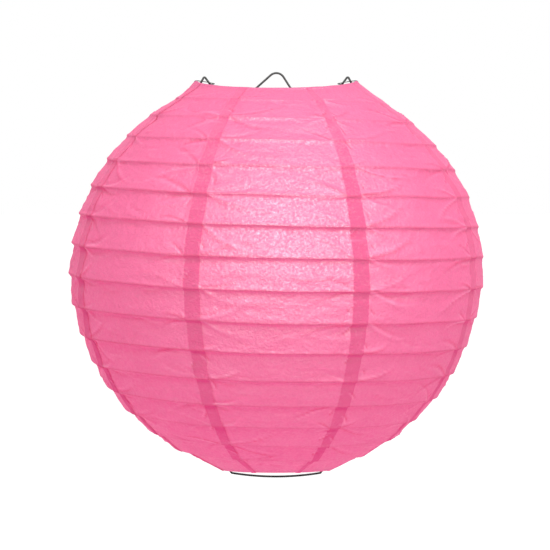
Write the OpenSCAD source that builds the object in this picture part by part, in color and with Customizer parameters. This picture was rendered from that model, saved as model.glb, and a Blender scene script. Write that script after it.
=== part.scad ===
// Round paper lantern: eight paper gores glued over one spiral wire rib, two wire rings with
// turned-in paper hems, two sheet-metal tabs on the top ring, and a wire expander that holds
// the globe open and carries it.
// Millimetres. The origin is where a hook bears in the hanging loop, +Z is up, and the
// expander lies in the XZ plane.

/* [Globe] */
// Diameter of the open globe at its widest
globe_d = 305; // [295:1:315]
// Height of the globe's curve as a share of its width
globe_squash = 0.98; // [0.97:0.005:0.99]
// Thickness of the paper with its glue
paper_t = 0.6; // [0.4:0.1:0.7]
// Angle by which each gore laps over the next one
lap_angle = 4.6; // [3:0.1:6]
// How far the lower half of the globe is drawn in
globe_taper = 3; // [0:0.5:4]

/* [Rings] */
// Radius of the top ring's wire line
top_ring_r = 59; // [58:0.5:60]
// How far the top ring sags between the two tabs
top_ring_sag = 6.3; // [0:0.1:7]
// Radius of the bottom ring's wire line
bottom_ring_r = 41; // [40.5:0.5:43]
// How far the bottom ring rises between the expander's two feet
bottom_ring_lift = 2.6; // [0:0.1:4]
// Diameter of the ring wire
ring_wire_d = 2; // [1.6:0.1:2.1]

/* [Spiral rib] */
// Diameter of the rib wire
rib_wire_d = 0.8; // [0.6:0.1:1]
// Angle at the globe's middle between one turn and the next
rib_pitch_angle = 8.6; // [8:0.1:8.6]
// Number of turns from the top of the globe to the bottom
rib_turns = 15; // [13:1:15]

/* [Expander] */
// Diameter of the expander wire
expander_wire_d = 1.5; // [1.2:0.1:1.6]
// Height of the hanging loop's wire line above the top ring
loop_rise = 7; // [6:0.5:9]

/* [Tabs] */
// Width of each tab along the ring
tab_w = 8; // [7:0.5:9]
// Distance from the ring's wire line to the tips of the tab
tab_length = 13.5; // [12:0.5:15]
// Thickness of the folded sheet
tab_t = 0.8; // [0.6:0.1:1]
// Angle by which the tab slopes down towards the middle
tab_slope = 5; // [3:1:9]
// Width of the slot that the expander's ear passes through
tab_slot_w = 3; // [2.6:0.1:3.6]

/* [Hidden] */
$fn = 48;

paper_pink = [0.97, 0.42, 0.63];
hem_pink = [0.93, 0.36, 0.57];
zinc_grey = [0.62, 0.66, 0.65];
wire_grey = [0.40, 0.43, 0.42];

globe_r = globe_d / 2;
ring_wire_r = ring_wire_d / 2;
expander_wire_r = expander_wire_d / 2;
// Heights of the two rings from the globe's middle
top_ring_rise = 142;
bottom_ring_drop = 143;
// Past a cut's own end, so that it goes right through
through = 2;
// The loop's wire line is half a wire above the origin.
middle_z = expander_wire_r - loop_rise - top_ring_rise;
top_ring_z = middle_z + top_ring_rise;
bottom_ring_z = middle_z - bottom_ring_drop;

// Tabs: a strip of sheet folded round the ring, with running play. The ring's seat under a
// tab is a hair thicker than its bends, so that it swallows their ends.
seat_r = ring_wire_r + 0.1;
seat_overlap = 0.4;
tab_play = 0.05;
tab_curl_t = 0.5;
tab_curl_r = seat_r + tab_play + tab_curl_t;
tab_curl_w = tab_w - 2 * seat_overlap;
// The sheet leaves the upper side of its curl. Its rolled tips are a little thicker.
tab_lift = 0.5;
tab_tip_r = tab_t * 0.8;

// Hems: paper folded over the ring wire, with a flap glued inside the gores
hem_t = 0.35;
hem_flap = 7;
glue_gap = 0.35;
// How far from each ring's wire line the gores stop
gore_gap_top = tab_curl_r + 0.25;
gore_gap_bottom = ring_wire_r + hem_t + 0.15;
// A hem starts this far past the end of its ring's straight stretch.
hem_end_gap = 0.4;
// Directions in which the paper leaves the rings, in degrees above level
top_slope = -41;
bottom_slope = 20;

// Each ring is straight for the width of a tab, where the expander holds it, and its two
// halves tilt from there, with the pull of the paper: down at the top, up at the bottom.
ring_flat = tab_w / 2;
function straight_x(ring_r) = sqrt(pow(ring_r, 2) - pow(ring_flat, 2));
function tilt(ring_r, sag) = asin(sag / (ring_r - ring_flat));
function sag_at(azimuth, ring_r, sag) =
    max(0, ring_r * abs(sin(azimuth)) - ring_flat) * tan(tilt(ring_r, sag));

// [radius, height] on the globe at an angle from its top, and a distance out from its face
taper_end = 170;
function taper_at(angle) =
    angle < 90 ? 0 : globe_taper * sin((angle - 90) * 180 / (taper_end - 90));
function globe_point(angle, out) = [
    (globe_r + out - taper_at(angle)) * sin(angle),
    middle_z + (globe_r * globe_squash + out - taper_at(angle)) * cos(angle)
];

// [radius, height] of the paper where it meets a ring. side is 1 at the top ring and -1 at
// the bottom one.
function rim_point(ring, slope, gap, side, out) =
    ring + gap * [cos(slope), sin(slope)]
        + side * (out + paper_t / 2) * [-sin(slope), cos(slope)];

function turn_to(point, azimuth) =
    [point[0] * cos(azimuth), point[0] * sin(azimuth), point[1]];

// Gores. Rows run down a meridian: the first is at the top ring, the last at the bottom
// ring, and those between are at even angles round the globe.
gore_count = 8;
gore_angle = 360 / gore_count;
gore_columns = 6;
row_angles = [28:10:158];
rim_rows = len([for (a = row_angles) a]) + 1;
function paper_point(row, azimuth, out) =
    row == 0
        ? rim_point(
            [top_ring_r, top_ring_z - sag_at(azimuth, top_ring_r, top_ring_sag)],
            top_slope, gore_gap_top, 1, out
        )
    : row == rim_rows
        ? rim_point(
            [bottom_ring_r, bottom_ring_z + sag_at(azimuth, bottom_ring_r, bottom_ring_lift)],
            bottom_slope, gore_gap_bottom, -1, out
        )
    : globe_point(row_angles[0] + (row - 1) * row_angles[1], out);

// Columns run across a gore, each [angle from its first edge, layer]. The last stretch is
// the lap, one layer out, on the next gore: the paper steps out just before that gore starts.
layer_step = paper_t + 0.05;
step_from = 1.2;
step_to = 0.2;
gore_line = concat(
    [[0, 0], [lap_angle, 0]],
    [for (c = [1:gore_columns - 1])
        [lap_angle + c * (gore_angle - lap_angle) / gore_columns, 0]],
    [[gore_angle - step_from, 0], [gore_angle - step_to, 1], [gore_angle + lap_angle, 1]]
);
// The middle of the first lap is half a gore to the left of the front.
first_gore_azimuth = -90 - gore_angle / 2 - lap_angle / 2;

module gore(number) {
    start = first_gore_azimuth + (number - 1) * gore_angle;
    last = len(gore_line) - 1;
    function at(row, c, face) = (row * (last + 1) + c) * 2 + face;
    points = [
        for (row = [0:rim_rows], column = gore_line, face = [0, 1])
            let (
                azimuth = start + column[0],
                out = column[1] * layer_step - (1 - face) * paper_t
            )
            turn_to(paper_point(row, azimuth, out), azimuth)
    ];
    function quad(a, b, c, d) = [[a, b, c], [a, c, d]];
    faces = concat(
        [for (row = [0:rim_rows - 1], c = [0:last - 1]) each concat(
            quad(at(row, c, 1), at(row, c + 1, 1), at(row + 1, c + 1, 1), at(row + 1, c, 1)),
            quad(at(row, c, 0), at(row + 1, c, 0), at(row + 1, c + 1, 0), at(row, c + 1, 0))
        )],
        [for (row = [0:rim_rows - 1]) each concat(
            quad(at(row, 0, 1), at(row + 1, 0, 1), at(row + 1, 0, 0), at(row, 0, 0)),
            quad(at(row, last, 0), at(row + 1, last, 0), at(row + 1, last, 1),
                at(row, last, 1))
        )],
        [for (c = [0:last - 1]) each concat(
            quad(at(0, c, 0), at(0, c + 1, 0), at(0, c + 1, 1), at(0, c, 1)),
            quad(at(rim_rows, c, 1), at(rim_rows, c + 1, 1), at(rim_rows, c + 1, 0),
                at(rim_rows, c, 0))
        )]
    );
    color(paper_pink) polyhedron(points, faces, convexity = 6);
}

// A wire through rims, which are rings of corners, one for each point of its line
module wire(rims, closed) {
    sides = len(rims[0]);
    count = len(rims);
    walls = [
        for (i = [0:count - (closed ? 1 : 2)], s = [0:sides - 1])
            let (
                next = ((i + 1) % count) * sides,
                t = (s + 1) % sides
            )
            each [[i * sides + s, i * sides + t, next + t], [i * sides + s, next + t, next + s]]
    ];
    caps = closed ? [] : [
        [for (s = [sides - 1:-1:0]) s],
        [for (s = [0:sides - 1]) (count - 1) * sides + s]
    ];
    polyhedron([for (rim = rims) each rim], concat(walls, caps), convexity = 10);
}

// The rib is one wire that winds down inside the paper by a fixed angle a turn.
rib_inset = 2.1;
rib_start_angle = 28;
rib_start_azimuth = 153;
rib_steps = 30;
rib_sides = 5;
function rib_rim(step) =
    let (
        azimuth = rib_start_azimuth + step * 360 / rib_steps,
        angle = rib_start_angle + step * rib_pitch_angle / rib_steps
    )
    [for (s = [0:rib_sides - 1])
        let (turn = s * 360 / rib_sides)
        turn_to(
            globe_point(angle, -rib_inset) + rib_wire_d / 2 * [cos(turn), sin(turn)],
            azimuth
        )];

module rib_spiral() {
    color(zinc_grey)
        wire([for (step = [0:rib_steps * rib_turns]) rib_rim(step)], false);
}

// Half of a ring's shape, from from_y past the middle of its straight stretch to the same
// place on the far side: a section swept round the ring, with its front half (side = -1) or
// its back half (side = 1) sagging by sag
module tilted_half(side, from_y, ring_r, ring_z, sag) {
    start = asin(from_y / ring_r);
    translate([0, side * ring_flat, ring_z])
        rotate([-side * tilt(ring_r, sag), 0, 0])
            translate([0, -side * ring_flat, 0])
                rotate([0, 0, side > 0 ? start : 180 + start])
                    rotate_extrude(angle = 180 - 2 * start, $fn = 96) children();
}

module ring(ring_r, ring_z, sag) {
    color(wire_grey) {
        for (side = [-1, 1])
            tilted_half(side, ring_flat - seat_overlap, ring_r, ring_z, sag)
                translate([ring_r, 0]) circle(r = ring_wire_r);
        for (side = [-1, 1])
            translate([side * straight_x(ring_r), 0, ring_z])
                rotate([90, 0, 0]) cylinder(r = seat_r, h = 2 * ring_flat, center = true);
    }
}
module top_ring() {
    ring(top_ring_r, top_ring_z, top_ring_sag);
}
module bottom_ring() {
    ring(bottom_ring_r, bottom_ring_z, -bottom_ring_lift);
}

// The flap of a hem is below the paper at the top ring (side = 1) and above it at the
// bottom one (side = -1).
module hem_section(ring_r, slope, side) {
    flap_y = paper_t / 2 + glue_gap;
    translate([ring_r, 0])
        difference() {
            union() {
                circle(r = ring_wire_r + hem_t);
                rotate(slope)
                    translate([0, side > 0 ? -flap_y - hem_t : flap_y])
                        square([hem_flap, hem_t]);
            }
            circle(r = ring_wire_r);
        }
}

module hem(ring_r, ring_z, sag, slope, side) {
    color(hem_pink)
        for (half = [-1, 1])
            tilted_half(half, ring_flat + hem_end_gap, ring_r, ring_z, sag)
                hem_section(ring_r, slope, side);
}
module top_hem() {
    hem(top_ring_r, top_ring_z, top_ring_sag, top_slope, 1);
}
module bottom_hem() {
    hem(bottom_ring_r, bottom_ring_z, -bottom_ring_lift, bottom_slope, -1);
}

// A tab about the middle of its ring wire, pointing towards -X. Its slot is open at the
// tips and ends just short of the ring, so that the expander's ear slides in.
slot_end = tab_curl_r + 0.05;
module tab() {
    color(zinc_grey)
        difference() {
            union() {
                rotate([90, 0, 0])
                    cylinder(r = tab_curl_r, h = tab_curl_w, center = true);
                rotate([0, -tab_slope, 0]) {
                    translate([-tab_length, -tab_w / 2, tab_lift - tab_t / 2])
                        cube([tab_length - ring_wire_r, tab_w, tab_t]);
                    translate([-tab_length, 0, tab_lift])
                        rotate([90, 0, 0])
                            cylinder(r = tab_tip_r, h = tab_w, center = true);
                }
            }
            rotate([90, 0, 0])
                cylinder(r = seat_r + tab_play, h = tab_w + through, center = true);
            translate([-slot_end - 2 * tab_length, -tab_slot_w / 2, -tab_length])
                cube([2 * tab_length, tab_slot_w, 2 * tab_length]);
        }
}
module tab_right() {
    translate([straight_x(top_ring_r), 0, top_ring_z]) tab();
}
module tab_left() {
    mirror([1, 0, 0]) tab_right();
}

// Expander: one wire bent in the XZ plane. Corners are [x, height above the globe's middle,
// bend radius]. They run from the foot of the loop out to an ear, which pokes up through
// the tab, out under the ring, down the arm, in over the bottom ring and down to the bail.
cross_rise = top_ring_rise - 5.5;
arm_foot = -bottom_ring_drop;
expander_half = [
    [45.5, cross_rise, 2],
    [52.9, top_ring_rise + 4.6, 0.9],
    [top_ring_r - 2.3, top_ring_rise - 2.6, 0.6],
    [top_ring_r + 0.6, top_ring_rise - 2.6, 0.8],
    [top_ring_r - 3.8, top_ring_rise - 7.5, 3],
    [bottom_ring_r + 3.3, arm_foot + 4.1, 1.2],
    [bottom_ring_r - 5, arm_foot + 0.1, 2],
    [33, arm_foot - 4.3, 1.2]
];
// The loop is a rounded peak. Its corner is higher than its wire line by what the bend cuts.
loop_corner_cut = 3.25;
loop_corners = [
    [-16.3, cross_rise, 2],
    [1.5, top_ring_rise + loop_rise + loop_corner_cut, 6.25],
    [11.6, cross_rise, 2]
];
// The bail bows down between its two corners, the last ones of the two halves.
bail_bow = 2.7;
bail_end = expander_half[len(expander_half) - 1];
bail_steps = 6;
bail_corners = [
    for (i = [bail_steps - 1:-1:1 - bail_steps])
        let (share = i / bail_steps)
        [share * bail_end[0], bail_end[1] - bail_bow * (1 - share * share), 20]
];
expander_corners = concat(
    loop_corners,
    expander_half,
    bail_corners,
    [for (i = [len(expander_half) - 1:-1:0])
        let (corner = expander_half[i])
        [-corner[0], corner[1], corner[2]]]
);

// Points of the arc that rounds the corner at index i, as [x, z, direction]. A corner that
// turns by less than slight_turn gets one straight cut.
arc_steps = 4;
slight_turn = 10;
function heading(a, b) = atan2(b[1] - a[1], b[0] - a[0]);
function turned(from, to) = (to - from + 540) % 360 - 180;
function corner_arc(corners, i) =
    let (
        count = len(corners),
        here = corners[i],
        from = heading(corners[(i + count - 1) % count], here),
        turn = turned(from, heading(here, corners[(i + 1) % count])),
        inwards = turn > 0 ? 90 : -90,
        cut = here[2] * tan(abs(turn) / 2),
        first = [here[0], here[1]] - cut * [cos(from), sin(from)],
        middle = first + here[2] * [cos(from + inwards), sin(from + inwards)],
        steps = abs(turn) < slight_turn ? 1 : arc_steps
    )
    [for (s = [0:steps])
        let (now = from + turn * s / steps)
        concat(middle - here[2] * [cos(now + inwards), sin(now + inwards)], now)];

expander_sides = 8;
module expander() {
    line = [
        for (i = [0:len(expander_corners) - 1]) each corner_arc(expander_corners, i)
    ];
    rims = [
        for (point = line) [
            for (s = [0:expander_sides - 1])
                let (
                    turn = s * 360 / expander_sides,
                    across = expander_wire_r * cos(turn)
                )
                [
                    point[0] - across * sin(point[2]),
                    expander_wire_r * sin(turn),
                    middle_z + point[1] + across * cos(point[2])
                ]
        ]
    ];
    color(wire_grey) wire(rims, true);
}

for (i = [1:gore_count])
    gore(i);
rib_spiral();
top_ring();
bottom_ring();
top_hem();
bottom_hem();
tab_left();
tab_right();
expander();
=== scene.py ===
"""Round paper lantern: the visual model, in metres, in the CAD model's frame.

+Z is up, the front is -Y, the wire expander lies in the XZ plane, and the origin is where a
hook bears in the hanging loop. Azimuths are in degrees from +X, anticlockwise seen from above.
"""

import math

import bpy
import numpy as np
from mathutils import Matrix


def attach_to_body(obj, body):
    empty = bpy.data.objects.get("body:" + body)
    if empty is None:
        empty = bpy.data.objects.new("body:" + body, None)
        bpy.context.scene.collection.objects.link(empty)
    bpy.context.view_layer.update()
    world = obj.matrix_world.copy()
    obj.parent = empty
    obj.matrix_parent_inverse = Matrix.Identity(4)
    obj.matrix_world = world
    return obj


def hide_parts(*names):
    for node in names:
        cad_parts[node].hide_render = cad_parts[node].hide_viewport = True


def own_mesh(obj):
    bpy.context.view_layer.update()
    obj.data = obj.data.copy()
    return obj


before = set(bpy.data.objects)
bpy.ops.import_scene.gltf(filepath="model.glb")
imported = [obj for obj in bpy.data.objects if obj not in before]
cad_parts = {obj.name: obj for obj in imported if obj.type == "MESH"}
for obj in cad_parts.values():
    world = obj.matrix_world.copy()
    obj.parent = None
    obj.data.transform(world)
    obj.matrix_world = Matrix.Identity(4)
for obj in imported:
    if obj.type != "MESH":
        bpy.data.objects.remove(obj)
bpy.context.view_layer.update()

MM = 0.001

# The globe and its rings, as in the CAD model
GLOBE_R = 152.5 * MM
GLOBE_SQUASH = 0.98
MIDDLE_Z = -148.25 * MM
TOP_RING_R = 59 * MM
TOP_RING_Z = -6.25 * MM
TOP_RING_SAG = 6.3 * MM
BOTTOM_RING_R = 41 * MM
BOTTOM_RING_Z = -291.25 * MM
BOTTOM_RING_SAG = -2.6 * MM
RING_FLAT = 4 * MM
TOP_SLOPE = -41
BOTTOM_SLOPE = 20
HEM_R = 1.35 * MM
HEM_FLAP = 7 * MM
GLOBE_TAPER = 3 * MM
TAPER_END = 170

# The spiral rib
RIB_START_AZIMUTH = 153
RIB_START_ANGLE = 28
RIB_PITCH = 8.6
RIB_TURNS = 15
RIB_R = 0.4 * MM
RIB_INSET = 0.55 * MM

# The gores
GORES = 8
GORE_ANGLE = 360 / GORES
LAP_ANGLE = 4.6
LAP_LIFT = 0.35 * MM
FIRST_GORE_AZIMUTH = -90 - GORE_ANGLE / 2 - LAP_ANGLE / 2
ANGLE_AT_TOP = 22.2
ANGLE_AT_BOTTOM = 163.7


# ---------------------------------------------------------------- camera and light

PICTURE_WIDTH = 407 * MM
CAMERA_DISTANCE = 1.83
CAMERA_ELEVATION = 3.1
CAMERA_AIM_X = -0.8 * MM
SENSOR = 36
CLIP_END = 200
LIGHT_DISTANCE = 2.4
WORLD_STRENGTH = 1.0


def turn_towards(obj, target):
    offset = np.array(target) - np.array(obj.location)
    x, y, z = offset / np.linalg.norm(offset)
    obj.rotation_euler = (math.acos(-z), 0, math.atan2(-x, y))


def place_around(obj, target, distance, azimuth, elevation):
    """Puts obj on a sphere round target, and turns it to face target. Azimuth 0 is the front."""
    side = math.radians(azimuth)
    up = math.radians(elevation)
    direction = np.array(
        [math.sin(side) * math.cos(up), -math.cos(side) * math.cos(up), math.sin(up)]
    )
    obj.location = np.array(target) + distance * direction
    turn_towards(obj, target)


def add(data, name):
    obj = bpy.data.objects.new(name, data)
    bpy.context.scene.collection.objects.link(obj)
    return obj


def make_camera():
    camera = add(bpy.data.cameras.new("camera"), "camera")
    camera.data.sensor_width = SENSOR
    camera.data.lens = SENSOR * CAMERA_DISTANCE / PICTURE_WIDTH
    camera.data.clip_end = CLIP_END
    place_around(camera, (CAMERA_AIM_X, 0, MIDDLE_Z), CAMERA_DISTANCE, 0, CAMERA_ELEVATION)
    bpy.context.scene.camera = camera


def make_area_light(name, size, power, azimuth, elevation):
    light = add(bpy.data.lights.new(name, "AREA"), name)
    light.data.shape = "DISK"
    light.data.size = size
    light.data.energy = power
    place_around(light, (0, 0, MIDDLE_Z), LIGHT_DISTANCE, azimuth, elevation)
    light.visible_camera = False
    return light


def make_world(strength):
    world = bpy.data.worlds.new("studio")
    world.use_nodes = True
    background = world.node_tree.nodes["Background"]
    background.inputs["Color"].default_value = (1, 1, 1, 1)
    background.inputs["Strength"].default_value = strength
    bpy.context.scene.world = world
    bpy.context.scene.view_settings.view_transform = "Standard"


make_camera()
make_world(WORLD_STRENGTH)
make_area_light("key", size=0.9, power=36, azimuth=22, elevation=58)
# This one adds only the sheen on the paper
gloss = make_area_light("gloss", size=0.6, power=310, azimuth=6, elevation=30)
gloss.visible_diffuse = False
gloss.visible_transmission = False


# ---------------------------------------------------------------- shading

PAPER_LIGHT = (0.855, 0.122, 0.342, 1)
PAPER_DEEP = (0.78, 0.045, 0.245, 1)
# Painted shade for the rib and the creases, and painted highlight beside the creases
PAPER_PAINTED_SHADE = (0.78, 0.02, 0.18, 1)
PAPER_PAINTED_HIGHLIGHT = (0.98, 0.27, 0.52, 1)
# What takes the paper's colour from light (0) to deep (1)
PLAIN_DEPTH = 0.2
# The laps are deeper for their doubled dye, and by painted shade for the light that two layers
# let through less
DOUBLED_DYE_AND_SHADE = 0.8
TAPE_DEPTH = 0.18
CLOUD_DEPTH = 0.12
CREPE_DEPTH = 0.13
FIBRE_DEPTH = 0.11
# How far a crease's lines go towards the painted shade and the painted highlight colour
PAINTED_SHADE_SHARE = 0.9
PAINTED_HIGHLIGHT_SHARE = 0.7
CREPE_BUMP = 1.1 * MM
FIBRE_BUMP = 0.5 * MM
MATT_FIBRE = 0.86
SHINY_FIBRE = 0.5
LAP_ROUGHNESS = 0.35
PAPER_SPECULAR = 1
LET_THROUGH = 0.35


class Shader:
    """A material's nodes, added one at a time."""

    def __init__(self, name):
        self.material = bpy.data.materials.new(name)
        self.material.use_nodes = True
        self.nodes = self.material.node_tree.nodes
        self.links = self.material.node_tree.links
        self.surface = self.nodes["Principled BSDF"]
        self.output = self.nodes["Material Output"]

    def node(self, kind, **settings):
        """A node with its inputs (by name) linked or set, and its other settings set."""
        made = self.nodes.new(kind)
        for key, value in settings.pop("inputs", {}).items():
            self.put(made.inputs[key], value)
        for key, value in settings.items():
            setattr(made, key, value)
        return made

    def put(self, socket, value):
        if isinstance(value, bpy.types.NodeSocket):
            self.links.new(value, socket)
        else:
            socket.default_value = value

    def place(self):
        return self.node("ShaderNodeTexCoord").outputs["Object"]

    def stretched(self, scale):
        mapping = self.node("ShaderNodeMapping", inputs={"Vector": self.place()})
        mapping.inputs["Scale"].default_value = scale
        return mapping.outputs["Vector"]

    def noise(self, vector, scale, detail=3, roughness=0.55, distortion=0):
        inputs = {
            "Vector": vector,
            "Scale": scale,
            "Detail": detail,
            "Roughness": roughness,
            "Distortion": distortion,
        }
        return self.node("ShaderNodeTexNoise", inputs=inputs).outputs["Fac"]

    def attribute(self, name):
        return self.node("ShaderNodeAttribute", attribute_name=name).outputs["Fac"]

    def maths(self, operation, a, b, clamp=False):
        made = self.node("ShaderNodeMath", operation=operation, use_clamp=clamp)
        self.put(made.inputs[0], a)
        self.put(made.inputs[1], b)
        return made.outputs[0]

    def between(self, value, low, high, to_low=0.0, to_high=1.0):
        inputs = {
            "Value": value,
            "From Min": low,
            "From Max": high,
            "To Min": to_low,
            "To Max": to_high,
        }
        return self.node("ShaderNodeMapRange", inputs=inputs).outputs["Result"]

    def colour_mix(self, share, a, b):
        made = self.node("ShaderNodeMix", data_type="RGBA")
        self.put(made.inputs["Factor"], share)
        self.put(made.inputs["A"], a)
        self.put(made.inputs["B"], b)
        return made.outputs["Result"]

    def bump(self, height, distance, strength=1.0, normal=None):
        inputs = {"Height": height, "Distance": distance, "Strength": strength}
        if normal is not None:
            inputs["Normal"] = normal
        return self.node("ShaderNodeBump", inputs=inputs).outputs["Normal"]

    def set(self, **values):
        for key, value in values.items():
            self.put(self.surface.inputs[key.replace("_", " ")], value)


def paper_material():
    """Thin dyed tissue: faintly crinkled, with shiny fibres, and it lets light through. Its
    colour holds painted shade over the rib and along the creases, and painted highlight beside
    them.
    """
    shader = Shader("tissue_paper")
    cloud = shader.noise(shader.place(), 45, detail=4, roughness=0.6)
    fine = shader.stretched((1, 1, 1.25))
    crepe = shader.noise(fine, 330, detail=5, roughness=0.66, distortion=0.15)
    finer = shader.stretched((1, 1, 1.2))
    fibre = shader.noise(finer, 560, detail=3, roughness=0.6, distortion=0.2)
    lap = shader.attribute("lap")

    # The laps: deeper doubled dye, and painted shade for the less light through two layers
    depth = shader.maths("MULTIPLY", lap, DOUBLED_DYE_AND_SHADE)
    tape = shader.maths("MULTIPLY", shader.attribute("tape"), TAPE_DEPTH)
    depth = shader.maths("ADD", depth, tape)
    spots = [(cloud, CLOUD_DEPTH), (crepe, -CREPE_DEPTH), (fibre, -FIBRE_DEPTH)]
    for grain, deeper in spots:
        depth = shader.maths("ADD", depth, shader.between(grain, 0.3, 0.7, -deeper, deeper))
    depth = shader.maths("ADD", depth, PLAIN_DEPTH, True)
    colour = shader.colour_mix(depth, PAPER_LIGHT, PAPER_DEEP)
    # Painted shade over the rib and along each crease, and painted highlight beside the creases
    crease = shader.attribute("crease")
    painted_shade_line = shader.between(crease, 0, 1, 0, PAINTED_SHADE_SHARE)
    folded = shader.maths("ADD", shader.attribute("rib"), painted_shade_line, True)
    colour = shader.colour_mix(folded, colour, PAPER_PAINTED_SHADE)
    painted_highlight_line = shader.between(crease, 0, -1, 0, PAINTED_HIGHLIGHT_SHARE)
    colour = shader.colour_mix(painted_highlight_line, colour, PAPER_PAINTED_HIGHLIGHT)

    normal = shader.bump(crepe, CREPE_BUMP, 0.7)
    normal = shader.bump(fibre, FIBRE_BUMP, 0.8, normal)
    rough = shader.between(fibre, 0.36, 0.64, MATT_FIBRE, SHINY_FIBRE)
    rough = shader.maths("ADD", rough, shader.between(lap, 0, 1, 0, LAP_ROUGHNESS), True)
    shader.set(Base_Color=colour, Roughness=rough, Normal=normal)
    shader.surface.inputs["Specular IOR Level"].default_value = PAPER_SPECULAR
    through = shader.node("ShaderNodeBsdfTranslucent", inputs={"Normal": normal})
    shader.put(through.inputs["Color"], colour)
    mixed = shader.node("ShaderNodeMixShader")
    mixed.inputs["Fac"].default_value = LET_THROUGH
    shader.put(mixed.inputs[1], shader.surface.outputs[0])
    shader.put(mixed.inputs[2], through.outputs[0])
    shader.put(shader.output.inputs["Surface"], mixed.outputs[0])
    return shader.material


STREAK_BUMP = 0.1 * MM
DULLER = 0.18


def wire_material(name, light, dark, roughness, metallic, specular=0.5):
    """Drawn or rolled steel, plated: streaks along it, and a few dull spots."""
    shader = Shader(name)
    streaks = shader.noise(shader.stretched((1, 1, 0.2)), 900, detail=3, roughness=0.6)
    spots = shader.noise(shader.place(), 160, detail=4, roughness=0.65)
    colour = shader.colour_mix(shader.between(spots, 0.4, 0.7), light, dark)
    worn = shader.between(spots, 0.35, 0.7, roughness, roughness + DULLER)
    normal = shader.bump(streaks, STREAK_BUMP, 0.4)
    shader.set(Base_Color=colour, Roughness=worn, Normal=normal)
    shader.surface.inputs["Metallic"].default_value = metallic
    shader.surface.inputs["Specular IOR Level"].default_value = specular
    return shader.material


FLOOR_LIGHT = (0.95, 0.95, 0.95, 1)
FLOOR_DARK = (0.93, 0.93, 0.93, 1)
FLOOR_ROUGHNESS = 0.8
FLOOR_GLOW = 0.15


def floor_material():
    shader = Shader("pale_floor")
    faint = shader.between(shader.noise(shader.place(), 3, detail=3), 0.3, 0.7)
    colour = shader.colour_mix(faint, FLOOR_LIGHT, FLOOR_DARK)
    shader.set(Base_Color=colour, Roughness=FLOOR_ROUGHNESS)
    shader.surface.inputs["Emission Color"].default_value = (1, 1, 1, 1)
    shader.surface.inputs["Emission Strength"].default_value = FLOOR_GLOW
    return shader.material


# ---------------------------------------------------------------- smooth noise

def smooth(t):
    t = np.clip(t, 0, 1)
    return t * t * (3 - 2 * t)


# Large primes, which mix the bits of a cell's numbers well
SEED_PRIME = 374761393
CELL_PRIMES = (668265263, 2246822519, 3266489917)


def scattered(cells, seed):
    """A repeatable number from 0 to 1 for each whole-number cell."""
    mixed = np.full(cells.shape[:-1], seed * SEED_PRIME % 2**32, np.uint64)
    for i, factor in enumerate(CELL_PRIMES):
        mixed = (mixed ^ cells[..., i].astype(np.uint64)) * np.uint64(factor)
        mixed = mixed & np.uint64(0xFFFFFFFF)
        mixed = mixed ^ (mixed >> np.uint64(15))
    return mixed.astype(float) / 2**32


# Keeps every cell's numbers above zero
CELL_SHIFT = 1000
NOISE_GAIN = 1.6


def noise(points, size, seed):
    """Smooth noise from about -1 to 1 at points. size is its grain, one number or three."""
    scaled = points / np.array(size) + CELL_SHIFT
    cell = np.floor(scaled).astype(np.int64)
    inside = scaled - cell
    weight = inside**3 * (inside * (inside * 6 - 15) + 10)
    total = 0
    for corner in np.ndindex(2, 2, 2):
        at = cell + np.array(corner)
        share = np.prod(np.where(corner, weight, 1 - weight), axis=-1)
        offset = inside - np.array(corner)
        pull = [scattered(at, seed + i) * 2 - 1 for i in range(3)]
        total = total + share * sum(pull[i] * offset[..., i] for i in range(3))
    return total * NOISE_GAIN


# ---------------------------------------------------------------- the globe's shape

def sphere(angle):
    """(radius, height) on the open globe at an angle in degrees from its top."""
    a = np.radians(angle)
    tapered = GLOBE_TAPER * np.sin(np.maximum(0, a - math.pi / 2) * 180 / (TAPER_END - 90))
    radius = (GLOBE_R - tapered) * np.sin(a)
    return np.stack([radius, MIDDLE_Z + (GLOBE_R * GLOBE_SQUASH - tapered) * np.cos(a)], -1)


def ring_height(azimuth, ring_r, height, sag):
    """A ring is straight where the expander holds it, at +X and -X, and sags between the two,
    or rises there if sag < 0."""
    off = np.maximum(0, ring_r * np.abs(np.sin(np.radians(azimuth))) - RING_FLAT)
    return height - off * math.tan(math.asin(sag / (ring_r - RING_FLAT)))


def top_ring_height(azimuth):
    return ring_height(azimuth, TOP_RING_R, TOP_RING_Z, TOP_RING_SAG)


def bottom_ring_height(azimuth):
    return ring_height(azimuth, BOTTOM_RING_R, BOTTOM_RING_Z, BOTTOM_RING_SAG)


def rim(ring_r, height, slope, along, side, out):
    """(radius, height) of the paper beside a ring: along its slope, and out from its middle."""
    a = math.radians(slope)
    radius = ring_r + along * math.cos(a) - side * out * math.sin(a)
    up = along * math.sin(a) + side * out * math.cos(a)
    return np.stack([radius + 0 * height, height + up], -1)


# How the gores' edges lie beside the rings: on the hem, and clear of the wires and tabs
ON_HEM = (0.4 * MM, HEM_R + 0.1 * MM)
AT_TAB = (1.9 * MM, 0.3 * MM)
TAB_CLEAR = 3.8 * MM
TAB_CLEAR_FADE = 1.5 * MM


def paper_edge(azimuth, ring_r, height, slope, side):
    from_tab = ring_r * np.abs(np.sin(np.radians(azimuth))) - TAB_CLEAR
    free = smooth(from_tab / TAB_CLEAR_FADE)
    along = AT_TAB[0] + (ON_HEM[0] - AT_TAB[0]) * free
    out = AT_TAB[1] + (ON_HEM[1] - AT_TAB[1]) * free
    return rim(ring_r, height, slope, along, side, out)


def rib_angle(turned):
    """Angle of the first rib turn at a place turned degrees round from the rib's start."""
    return RIB_START_ANGLE + RIB_PITCH * turned / 360


# The share of a panel over which the paper still lies on the rib, and how deep it sags,
# down the globe
RIB_WRAP = 0.022
SAG_AT = [22, 32, 50, 75, 105, 135, 150, 164]
SAG_DEPTH = np.array([0.3, 0.5, 1.0, 1.6, 1.7, 1.5, 1.1, 0.6]) * MM
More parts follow.
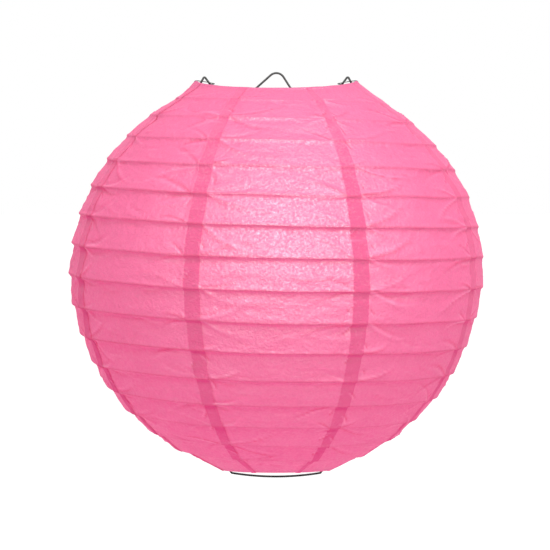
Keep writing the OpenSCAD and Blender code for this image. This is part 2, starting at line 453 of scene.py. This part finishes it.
# A panel wider than this many pitches of the rib sags no deeper
SAG_WIDEST = 1.3
SAG_ONSET = 0.05
SAG_RETURN = 0.9
SAG_PEAK = 0.8


def sag_profile(share):
    """How far the paper is drawn in between one support (0) and the next below it (1)."""
    return (1 - np.exp(-share / SAG_ONSET)) * (1 - share) ** SAG_RETURN / SAG_PEAK


def envelope(azimuth, turned, angle, first, last):
    """The paper's line, taut between the top ring, the rib's turns first to last, and the
    bottom ring. Returns (radius, height), the share from support to support, and the sag."""
    start = rib_angle(turned)
    upper = start + RIB_PITCH * first
    lower = start + RIB_PITCH * last
    above = angle < upper
    below = angle >= lower
    turn_above = start + np.floor((angle - start) / RIB_PITCH) * RIB_PITCH
    low = np.where(above, ANGLE_AT_TOP, np.where(below, lower, turn_above))
    high = np.where(above, upper, np.where(below, ANGLE_AT_BOTTOM, low + RIB_PITCH))
    share = np.clip((angle - low) / (high - low), 0, 1)

    top = paper_edge(azimuth, TOP_RING_R, top_ring_height(azimuth), TOP_SLOPE, 1)
    bottom = paper_edge(azimuth, BOTTOM_RING_R, bottom_ring_height(azimuth), BOTTOM_SLOPE, -1)
    line = sphere(angle)
    t = share[..., None]
    line = np.where(above[..., None], top * (1 - t) + sphere(upper) * t, line)
    line = np.where(below[..., None], sphere(lower) * (1 - t) + bottom * t, line)
    width = (high - low) / RIB_PITCH
    wrapped = RIB_WRAP / width
    depth = np.interp(angle, SAG_AT, SAG_DEPTH) * np.minimum(width, SAG_WIDEST)
    inside = np.clip((share - wrapped) / (1 - 2 * wrapped), 0, 1)
    return line, share, depth * sag_profile(inside)


# Degrees over which the paper goes from one end of the rib to the free line beside it
RIB_FADE = 8


def paper_line(azimuth, turned, angle):
    """envelope(), with one set of turns fading into the next set beside turned = 0, which is
    where the rib's first turn begins and its last one ends."""
    w = smooth(turned / RIB_FADE)
    line, share, sag = envelope(azimuth, turned, angle, 0, RIB_TURNS - 1)
    if turned.min() < RIB_FADE:
        other = envelope(azimuth, turned, angle, 1, RIB_TURNS)
        line = w[..., None] * line + (1 - w[..., None]) * other[0]
        sag = w * sag + (1 - w) * other[2]
        share = np.where(w > 0.5, share, other[1])
    return line, share, sag


# The direction out of the paper, as an angle from straight up, down the globe
NORMAL_AT = [ANGLE_AT_TOP, 34, 150, ANGLE_AT_BOTTOM]
NORMAL_ANGLE = [43, 34, 152, 163]


def paper_normal(angle):
    """(radius, height) of the direction out of the paper."""
    a = np.radians(np.interp(angle, NORMAL_AT, NORMAL_ANGLE))
    return np.stack([np.sin(a), np.cos(a)], -1)


def turned_to(line, azimuth):
    a = np.radians(azimuth)
    return np.stack([line[..., 0] * np.cos(a), line[..., 0] * np.sin(a), line[..., 1]], -1)


# How far the paper wanders along X, Y and Z
SETTLE_STEP = np.array([0.8, 0.8, 1.1]) * MM
SETTLE_GRAIN = 70 * MM
# Heights above or below the globe's middle, in radii of the globe
SETTLE_END = 0.86
SETTLE_FADE = 0.3
BULGE_HEIGHT = 0.42
BULGE_SPREAD = 0.3
# How far the paper goes out, in steps of SETTLE_STEP: on the bulge at +X, and everywhere
BULGE = 1.6
WIDENING = 0.8


def settle(points):
    """Slow irregularities of a hand-made globe, the same for paper and rib, none at the rings."""
    up = (points[..., 2] - MIDDLE_Z) / GLOBE_R
    free = smooth((SETTLE_END - np.abs(up)) / SETTLE_FADE)[..., None]
    wander = np.stack([noise(points, SETTLE_GRAIN, 11 + i) for i in range(3)], -1)
    bulge = np.exp(-(((up - BULGE_HEIGHT) / BULGE_SPREAD) ** 2))
    bulge = bulge * smooth(points[..., 0] / GLOBE_R)
    wander = wander + np.stack([bulge, 0 * bulge, 0 * bulge], -1) * BULGE
    wander = wander + points * np.array([1, 1, 0]) / GLOBE_R * WIDENING
    return points + free * wander * SETTLE_STEP


# ---------------------------------------------------------------- wrinkles

# How much a crease bows, in shares of its length
CREASE_BOW = 0.08
# The shares of its length over which it starts and dies out
CREASE_START = 0.06
CREASE_END = 1.05
CREASE_FADE = 0.6
# Its line of painted shade and the fainter one of painted highlight: where they lie and how wide,
# in widths
DARK_LINE_W = 0.7
LIGHT_LINE_AT = 1.6
LIGHT_LINE_W = 0.8
LIGHT_LINE_TONE = 0.6


class Creases:
    """Nearly straight creases in the paper, each from a point, in a direction, for a length.
    Each is a small ridge, or a furrow if height < 0, with a line of painted shade along it, or of
    painted highlight if tone < 0, and a fainter line of the opposite kind beside it."""

    def __init__(self):
        self.rows = []

    def add(self, azimuth, angle, heading, length, width, height, tone):
        self.rows.append((azimuth, angle, heading, length, width, height, tone))

    def at(self, azimuth, angle):
        """(height, tone) of all the creases at places on the globe: tone above 0 is painted
        shade, below 0 painted highlight.
        """
        raised = np.zeros(azimuth.shape)
        toned = np.zeros(azimuth.shape)
        for a0, angle0, heading, length, width, height, tone in self.rows:
            across = np.radians((azimuth - a0 + 180) % 360 - 180)
            across = across * GLOBE_R * math.sin(math.radians(angle0))
            up = np.radians(angle0 - angle) * GLOBE_R
            reach = length + 3 * width
            near = (np.abs(across) < reach) & (np.abs(up) < reach)
            if not near.any():
                continue
            c = math.cos(math.radians(heading))
            s = math.sin(math.radians(heading))
            along = (across[near] * c + up[near] * s) / length
            off = (-across[near] * s + up[near] * c) / width
            off = off + CREASE_BOW * length / width * np.sin(math.pi * along)
            fade = smooth((along + CREASE_START) / (2 * CREASE_START))
            fade = fade * smooth((CREASE_END - along) / CREASE_FADE)
            raised[near] += height * np.exp(-np.abs(off)) * fade
            # Painted shade along the crease and painted highlight beside it, the other way round
            # if tone < 0
            dark = np.exp(-((off / DARK_LINE_W) ** 2))
            light = np.exp(-(((off - LIGHT_LINE_AT) / LIGHT_LINE_W) ** 2))
            toned[near] += tone * (dark - LIGHT_LINE_TONE * light) * fade
        return raised, np.clip(toned, -1, 1)


def rib_angle_at(azimuth, turn):
    return rib_angle((azimuth - RIB_START_AZIMUTH) % 360) + RIB_PITCH * turn


CREASE_SEED = 4
# How often a fan has each of its creases: near the globe's middle, and elsewhere
FAN_CHANCE = (0.85, 0.5)
FAN_MIDDLE = (55, 125)
PINCH_CHANCE = 0.55
FAINT_CREASES = 5


def add_fan_crease(creases, random, azimuth, angle, side, up):
    """One long crease from beside a seam. side is 1 east of the seam, and up 1 upwards."""
    lean = random.uniform(6, 34) * up
    heading = lean if side > 0 else 180 - lean
    length = random.uniform(12, 50) * MM
    height = random.choice([-0.8, 0.9, 1.3]) * MM
    width = random.uniform(0.9, 1.6) * MM
    tone = random.uniform(0.4, 1) * random.choice([-0.8, 1, 1])
    start = azimuth + side * random.uniform(1.6, 3.2)
    creases.add(start, angle - 0.4 * up, heading, length, width, height, tone)


def add_pinch(creases, random, azimuth, angle, side):
    start = azimuth + side * random.uniform(2.2, 4.5)
    at = angle + RIB_PITCH * random.uniform(0.3, 0.85)
    heading = random.uniform(35, 75) if side < 0 else random.uniform(105, 145)
    length = random.uniform(5, 13) * MM
    creases.add(start, at, heading, length, 0.9 * MM, -0.6 * MM, 1.0)


def add_faint_crease(creases, random, azimuth, angle):
    start = azimuth + random.uniform(4, GORE_ANGLE - 4)
    at = angle + RIB_PITCH * random.uniform(0.08, 0.92)
    length = random.uniform(8, 34) * MM
    height = random.choice([-0.5, 0.6]) * MM
    tone = random.uniform(-0.45, 0.5)
    creases.add(start, at, random.uniform(-12, 12), length, 1.1 * MM, height, tone)


def make_creases():
    """Fans of creases from where seams cross the rib, short pinches beside the seams, and
    faint level creases between them."""
    creases = Creases()
    random = np.random.default_rng(CREASE_SEED)
    for seam in range(GORES):
        azimuth = -90 - GORE_ANGLE / 2 + seam * GORE_ANGLE
        for turn in range(RIB_TURNS):
            angle = rib_angle_at(azimuth, turn)
            middle = FAN_MIDDLE[0] < angle < FAN_MIDDLE[1]
            chance = FAN_CHANCE[0] if middle else FAN_CHANCE[1]
            for side in (-1, 1):
                for up in (1, -1):
                    if random.random() < chance:
                        add_fan_crease(creases, random, azimuth, angle, side, up)
                if random.random() < PINCH_CHANCE:
                    add_pinch(creases, random, azimuth, angle, side)
            for _ in range(FAINT_CREASES):
                add_faint_crease(creases, random, azimuth, angle)
    return creases


# Each kind of crumple's grain along X, Y and Z, and its depth
PATCH_GRAIN = 60 * MM
FOLD_GRAIN = (38 * MM, 38 * MM, 8 * MM)
FACET_GRAIN = (19 * MM, 19 * MM, 8 * MM)
SMALL_GRAIN = (9 * MM, 9 * MM, 4 * MM)
FINE_GRAIN = (4.5 * MM, 4.5 * MM, 2.4 * MM)
FOLD_DEPTH = 0.45 * MM
FACET_DEPTH = 0.8 * MM
SMALL_DEPTH = 0.5 * MM
FINE_DEPTH = 0.12 * MM
# How crumpled the paper is, and how much that varies from patch to patch
CRUMPLED = 0.65
PATCH_VARIES = 0.5


def wrinkles(points):
    """Crumpled tissue: soft folds along the ribs, with finer facets on them in patches."""
    crumpled = CRUMPLED + PATCH_VARIES * noise(points, PATCH_GRAIN, 30)
    folds = noise(points, FOLD_GRAIN, 31) * FOLD_DEPTH
    facets = np.abs(noise(points, FACET_GRAIN, 32)) * -FACET_DEPTH
    small = np.abs(noise(points, SMALL_GRAIN, 33)) * -SMALL_DEPTH
    fine = noise(points, FINE_GRAIN, 34) * FINE_DEPTH
    return folds + crumpled * (facets + small + fine)


# ---------------------------------------------------------------- meshes

def mesh_object(name, points, faces, material, smooth_shading=True):
    mesh = bpy.data.meshes.new(name)
    mesh.from_pydata(points.tolist(), [], faces.tolist())
    mesh.polygons.foreach_set("use_smooth", [smooth_shading] * len(mesh.polygons))
    mesh.materials.append(material)
    mesh.update()
    return add(mesh, name)


def grid_faces(rows, columns, wrap=False):
    """Quads of a grid of points, with the last column joined to the first if wrap."""
    row = np.arange(rows - 1)[:, None] * columns
    here = np.arange(columns if wrap else columns - 1)[None, :]
    then = (here + 1) % columns
    quads = [row + here, row + columns + here, row + columns + then, row + then]
    return np.stack(quads, -1).reshape(-1, 4)


def set_attribute(obj, name, values):
    attribute = obj.data.attributes.new(name, "FLOAT", "POINT")
    attribute.data.foreach_set("value", values.ravel().astype(np.float32))


PANEL_ROWS = 20
PANEL_CROWDING = 0.11
GORE_COLUMNS = 118
# How dark the laps look, from doubled dye and painted shade, and how dark the painted shade over
# the rib is, down the globe
LAP_AT = [25, 50, 75, 120, 150, 165]
LAP_DYE_AND_SHADE = [0.5, 0.65, 1.05, 1.05, 0.9, 0.7]
RIB_AT = [25, 45, 60, 110, 140, 165]
RIB_SHADE = [0.12, 0.22, 0.6, 0.6, 0.3, 0.18]
RIB_LINE_W = 0.8
DEGREE_MM = math.radians(1) * GLOBE_R / MM
# Shares of a panel beside each support where the paper is too taut to crumple or crease
TAUT_CRUMPLE = 0.14
TAUT_CREASE = 0.05
# Share beside each support where the creases' painted shade and highlight are left out
UNTONED_CREASE = 0.03
# The edge of the paper band that is glued over each turn of the rib
TAPE_END = 0.27
TAPE_FADE = 0.04
# How dark that band is away from the laps
TAPE_ALONE = 0.3
# Degrees before the next gore's edge at which the paper starts to rise over it
LAP_RISE = 1.2
# How ragged and how soft the lap's edges look, in degrees
RAGGED = 0.16
RAGGED_GRAIN = 14 * MM
LAP_EDGE = 0.3
# How much the laps' and the rib lines' darkness varies from place to place
LAP_VARIES = 0.3
LAP_GRAIN = 9 * MM
RIB_VARIES = 0.35
RIB_GRAIN = 30 * MM
# The paper sags more at the left than at the right, and unevenly
SLACK_LEFT = 0.25
SLACK_VARIES = 0.25
SLACK_GRAIN = 45 * MM


def panel_shares():
    """Shares from one support to the next, closer together near the two."""
    t = np.arange(PANEL_ROWS) / PANEL_ROWS
    return t - PANEL_CROWDING * np.sin(2 * math.pi * t)


def gore_rows(turned, first, last):
    """Angles of a gore's rows at each place round it: rows run along the rib's turns."""
    start = rib_angle(turned)
    supports = [ANGLE_AT_TOP + 0 * turned]
    supports += [start + RIB_PITCH * k for k in range(first, last + 1)]
    supports += [ANGLE_AT_BOTTOM + 0 * turned]
    rows = []
    for low, high in zip(supports, supports[1:]):
        rows += [low + (high - low) * share for share in panel_shares()]
    return np.array([*rows, supports[-1]])


def make_gore(number, material, creases):
    start = FIRST_GORE_AZIMUTH + (number - 1) * GORE_ANGLE
    across = np.linspace(0, GORE_ANGLE + LAP_ANGLE, GORE_COLUMNS)
    middle = (start + GORE_ANGLE / 2 - RIB_START_AZIMUTH) % 360
    turned = middle + across - GORE_ANGLE / 2
    if turned.max() > 360:
        turned = turned - 360
    crosses_start = turned.min() < 0
    angle = gore_rows(turned, 0, RIB_TURNS if crosses_start else RIB_TURNS - 1)
    azimuth = np.broadcast_to(start + across, angle.shape)
    turned = np.broadcast_to(turned, angle.shape)
    across = np.broadcast_to(across, angle.shape)

    line, share, sag = paper_line(azimuth, turned, angle)
    from_support = np.minimum(share, 1 - share)
    plain = turned_to(line, azimuth)
    crumple = smooth(from_support / TAUT_CRUMPLE) * wrinkles(plain)
    raised, toned = creases.at(azimuth, angle)
    creased = smooth(from_support / TAUT_CREASE) * raised
    lap = smooth(across - GORE_ANGLE + LAP_RISE)
    slack = 1 - SLACK_LEFT * plain[..., 0] / GLOBE_R
    slack = slack + SLACK_VARIES * noise(plain, SLACK_GRAIN, 21)
    out = crumple + creased - sag * slack + lap * LAP_LIFT
    points = settle(turned_to(line + out[..., None] * paper_normal(angle), azimuth))

    rows, columns = angle.shape
    faces = grid_faces(rows, columns)
    gore = mesh_object(f"gore_{number}_paper", points.reshape(-1, 3), faces, material)
    ragged = across + RAGGED * noise(plain, RAGGED_GRAIN, 41)
    under = smooth((LAP_ANGLE - ragged) / LAP_EDGE)
    over = smooth((ragged - GORE_ANGLE) / LAP_EDGE)
    lap_dye_and_shade = np.interp(angle, LAP_AT, LAP_DYE_AND_SHADE) * (1 + LAP_VARIES * noise(plain, LAP_GRAIN, 42))
    doubled = np.maximum(under, over) * lap_dye_and_shade
    from_rib = from_support * RIB_PITCH * DEGREE_MM
    rib_shade = np.interp(angle, RIB_AT, RIB_SHADE) * (1 + RIB_VARIES * noise(plain, RIB_GRAIN, 43))
    tape = 1 - smooth((share - TAPE_END) / TAPE_FADE)
    # Doubled dye of the laps, with painted shade for the less light through two layers
    set_attribute(gore, "lap", doubled)
    # Painted shade over each turn of the rib: the wire's shadow through the paper and the shade
    # of the paper's bend over it
    set_attribute(gore, "rib", np.exp(-((from_rib / RIB_LINE_W) ** 2)) * rib_shade)
    set_attribute(gore, "tape", tape * (TAPE_ALONE + doubled))
    # The creases' painted shade and painted highlight
    set_attribute(gore, "crease", toned * smooth(from_support / UNTONED_CREASE))
    return gore


# ---------------------------------------------------------------- wires

def tube(name, line, sides, radius, material, closed):
    """A round wire along line, a list of points no two alike."""
    line = np.array(line)
    if closed:
        ahead = np.roll(line, -1, 0) - np.roll(line, 1, 0)
    else:
        ahead = np.gradient(line, axis=0)
    ahead = ahead / np.linalg.norm(ahead, axis=1)[:, None]
    side = np.cross(ahead, [0, 1, 0]) if closed else np.cross(ahead, [0, 0, 1])
    side = side / np.linalg.norm(side, axis=1)[:, None]
    other = np.cross(ahead, side)
    turn = np.arange(sides) * 2 * math.pi / sides
    spokes = np.cos(turn)[None, :, None] * side[:, None, :]
    spokes = spokes + np.sin(turn)[None, :, None] * other[:, None, :]
    rings = line[:, None, :] + radius * spokes
    count = len(line)
    if closed:
        rings = np.concatenate([rings, rings[:1]])
    faces = grid_faces(len(rings), sides, wrap=True)
    faces = faces % (count * sides) if closed else faces
    return mesh_object(name, rings[:count].reshape(-1, 3), faces, material)


RIB_STEPS = 120
RIB_SIDES = 8


def make_rib(material):
    turned = np.linspace(0, 360 * RIB_TURNS, RIB_STEPS * RIB_TURNS + 1)
    angle = RIB_START_ANGLE + RIB_PITCH * turned / 360
    line = sphere(angle) - RIB_INSET * paper_normal(angle)
    points = settle(turned_to(line, RIB_START_AZIMUTH + turned))
    return tube("rib_wire", points, RIB_SIDES, RIB_R, material, False)


# [across, height above the globe's middle, bend radius] of the expander's corners, in mm
EXPANDER_LOOP = [(-16.3, 136.5, 2), (1.5, 152.25, 6.25), (11.6, 136.5, 2)]
EXPANDER_HALF = [
    (45.5, 136.5, 2),
    (52.9, 146.6, 0.9),
    (56.7, 139.4, 0.6),
    (59.6, 139.4, 0.8),
    (55.2, 134.5, 3),
    (44.3, -138.9, 1.2),
    (36, -142.9, 2),
    (33, -147.3, 1.2),
]
EXPANDER_R = 0.75 * MM
EXPANDER_SIDES = 16
BAIL_BOW = 2.7
BAIL_BEND = 8
BAIL_STEPS = 12
# A bend takes up at most this share of the side before it and of the one after it
MOST_CUT = 0.49


def rounded(corners, step=9):
    """The closed line through corners with their bends, as (across, height) points."""
    line = []
    for i, (x, z, bend) in enumerate(corners):
        here = np.array([x, z], float)
        back = here - corners[i - 1][:2]
        ahead = np.array(corners[(i + 1) % len(corners)][:2]) - here
        back_length = np.linalg.norm(back)
        ahead_length = np.linalg.norm(ahead)
        back = back / back_length
        ahead = ahead / ahead_length
        turn = math.atan2(back[0] * ahead[1] - back[1] * ahead[0], back @ ahead)
        cut = min(bend * math.tan(abs(turn) / 2), MOST_CUT * min(back_length, ahead_length))
        inwards = math.copysign(1, turn) * np.array([-back[1], back[0]])
        radius = cut / math.tan(abs(turn) / 2)
        centre = here - cut * back + radius * inwards
        steps = max(1, math.ceil(math.degrees(abs(turn)) / step))
        for s in range(steps + 1):
            t = abs(turn) * s / steps
            line.append(centre + radius * (math.sin(t) * back - math.cos(t) * inwards))
    return line


def make_expander(material):
    foot_x, foot_z, _ = EXPANDER_HALF[-1]
    bail = []
    for i in range(BAIL_STEPS - 1, -BAIL_STEPS, -1):
        share = i / BAIL_STEPS
        bail.append((share * foot_x, foot_z - BAIL_BOW * (1 - share * share), BAIL_BEND))
    mirrored = [(-x, z, bend) for x, z, bend in reversed(EXPANDER_HALF)]
    flat = rounded([*EXPANDER_LOOP, *EXPANDER_HALF, *bail, *mirrored])
    points = [(x * MM, 0, MIDDLE_Z + z * MM) for x, z in flat]
    return tube("expander_wire", points, EXPANDER_SIDES, EXPANDER_R, material, True)


# ---------------------------------------------------------------- tabs

# The strip's line seen from the side: [inwards from the ring's wire, up], in mm, from the tip
# over the wire and back under it to the tip
TAB_UPPER = [(13.5, -0.72), (11, -0.28), (8.5, 0.2), (6, 0.65), (4, 0.95), (2.2, 1.18)]
TAB_LOWER = [(2.2, -1.42), (4, -1.72), (6, -1.85), (8.5, -1.75), (11, -1.45), (13.5, -1.02)]
TAB_CURL_R = 1.35
TAB_CURL = (78, 282)
TAB_CURL_STEPS = 18
TAB_HALF_W = 4
TAB_SLOT = 1.5
TAB_SLOT_END = 1.7
TAB_ROUND_FROM = 10
PRONG_STEPS = 11
TAB_T = 0.45 * MM
TAB_EDGE = 0.1 * MM


def make_tab(name, side, material):
    """A strip folded round the top ring's wire, its two leaves pressed together at the tip and
    slotted for the expander's ear. side is -1 on the left and 1 on the right."""
    curl = np.radians(np.linspace(*TAB_CURL, TAB_CURL_STEPS))
    over = np.stack([np.cos(curl), np.sin(curl)], -1) * TAB_CURL_R
    line = np.concatenate([TAB_UPPER, over, TAB_LOWER])
    length = TAB_UPPER[0][0]
    prong = (TAB_HALF_W - TAB_SLOT) / 2
    middle = TAB_SLOT + prong
    half = middle - prong * np.cos(np.linspace(0, math.pi, PRONG_STEPS))
    across = np.concatenate([-half[::-1], half])
    # Each prong's tip is round
    off = np.abs(across) - middle
    tip = length - prong + np.sqrt(np.maximum(0, prong**2 - off**2))
    share = (tip - TAB_ROUND_FROM) / (length - TAB_ROUND_FROM)
    inwards = np.repeat(line[:, :1], len(across), 1)
    past = np.maximum(0, inwards - TAB_ROUND_FROM)
    inwards = np.minimum(inwards, TAB_ROUND_FROM) + past * share
    up = np.repeat(line[:, 1:], len(across), 1)
    ring_x = math.sqrt(TOP_RING_R**2 - RING_FLAT**2)
    x = side * (ring_x - inwards * MM)
    y = np.repeat(across[None] * MM, len(line), 0)
    points = np.stack([x, y, TOP_RING_Z + up * MM], -1)
    faces = grid_faces(len(line), len(across)).reshape(len(line) - 1, -1, 4)
    slotted = np.maximum(line[1:, 0], line[:-1, 0]) > TAB_SLOT_END
    gap = np.arange(len(across) - 1) == len(half) - 1
    faces = faces[~(slotted[:, None] & gap[None])]
    tab = mesh_object(name, points.reshape(-1, 3), faces, material)
    solid = tab.modifiers.new("thickness", "SOLIDIFY")
    solid.thickness = TAB_T
    solid.offset = 0
    edges = tab.modifiers.new("edges", "BEVEL")
    edges.width = TAB_EDGE
    edges.segments = 2
    return tab


# ---------------------------------------------------------------- hems

HEM_START = 4.4 * MM
# Degrees from the flap's direction between which the paper is wrapped round the wire
HEM_WRAP = (-60, 285)
HEM_WRAP_ROWS = 24
HEM_FLAP_ROWS = 8
HEM_FLAP_FROM = 0.2
HEM_COLUMNS = 200
HEM_SWELL = 0.12
HEM_GRAIN = (7 * MM, 7 * MM, 4 * MM)
HEM_DYE_AND_SHADE = 0.45


def make_hem(name, slope, side, ring_r, height_at, material):
    """Paper wrapped over the two halves of a ring's wire and glued down inside the gores."""
    start = math.degrees(math.asin(HEM_START / ring_r))
    half = np.linspace(start, 180 - start, HEM_COLUMNS)
    wrap = np.radians(slope + side * np.linspace(*HEM_WRAP, HEM_WRAP_ROWS))
    points = []
    faces = []
    for azimuth in (half, half + 180):
        height = height_at(azimuth)
        rows = []
        for turn in wrap:
            radius = ring_r + HEM_R * math.cos(turn) + 0 * height
            rows.append(np.stack([radius, height + HEM_R * math.sin(turn)], -1))
        for along in np.linspace(HEM_FLAP_FROM, 1, HEM_FLAP_ROWS) * HEM_FLAP:
            rows.append(rim(ring_r, height, slope, along, side, -HEM_R))
        plain = turned_to(np.array(rows), azimuth)
        swell = 1 + HEM_SWELL * noise(plain, HEM_GRAIN, 51)
        centre = turned_to(np.stack([ring_r + 0 * height, height], -1), azimuth)
        faces.append(grid_faces(len(rows), len(azimuth)) + sum(len(p) for p in points))
        points.append((centre + (plain - centre) * swell[..., None]).reshape(-1, 3))
    hem = mesh_object(name, np.concatenate(points), np.concatenate(faces), material)
    count = len(hem.data.vertices)
    # The hem's doubled paper: deeper dye, and painted shade as in the laps
    set_attribute(hem, "lap", np.full(count, HEM_DYE_AND_SHADE))
    for absent in ("rib", "tape", "crease"):
        set_attribute(hem, absent, np.zeros(count))
    return hem


# ---------------------------------------------------------------- assembly

def attach(piece, body, node):
    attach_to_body(piece, body)
    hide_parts(node)


def fold_flat(piece):
    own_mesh(piece)


paper = paper_material()
galvanised = wire_material(
    "galvanised_wire",
    light=(0.04, 0.044, 0.042, 1),
    dark=(0.02, 0.022, 0.021, 1),
    roughness=0.6,
    metallic=0.15,
    specular=0.2,
)
rib_steel = wire_material(
    "rib_wire",
    light=(0.62, 0.62, 0.61, 1),
    dark=(0.42, 0.42, 0.41, 1),
    roughness=0.45,
    metallic=0.5,
)
zinc = wire_material(
    "zinc_sheet",
    light=(0.15, 0.17, 0.16, 1),
    dark=(0.08, 0.09, 0.085, 1),
    roughness=0.7,
    metallic=0,
    specular=0.05,
)

creases = make_creases()
for number in range(1, GORES + 1):
    gore = make_gore(number, paper, creases)
    attach(gore, "bottom_rim", f"gore_{number}")
    fold_flat(gore)

rib = make_rib(rib_steel)
attach(rib, "bottom_rim", "rib_spiral")
fold_flat(rib)

expander = make_expander(galvanised)
attach(expander, "expander", "expander")

top_hem = make_hem("top_hem_paper", TOP_SLOPE, 1, TOP_RING_R, top_ring_height, paper)
attach(top_hem, "top_rim", "top_hem")

bottom_hem = make_hem(
    "bottom_hem_paper", BOTTOM_SLOPE, -1, BOTTOM_RING_R, bottom_ring_height, paper
)
attach(bottom_hem, "bottom_rim", "bottom_hem")

for which, side in [("left", -1), ("right", 1)]:
    tab = make_tab(f"tab_{which}_strip", side, zinc)
    attach(tab, f"{which}_tab", f"tab_{which}")

for name in ("top_ring", "bottom_ring"):
    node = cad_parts[name]
    node.data.materials.clear()
    node.data.materials.append(galvanised)

FLOOR_Z = -1.3
FLOOR_SIZE = 40
floor_points = np.array([(-1, -1, 0), (1, -1, 0), (1, 1, 0), (-1, 1, 0)]) * FLOOR_SIZE
floor_points = floor_points + np.array([0, 0, FLOOR_Z])
floor_faces = np.array([[0, 1, 2, 3]])
floor = mesh_object("floor", floor_points, floor_faces, floor_material(), False)
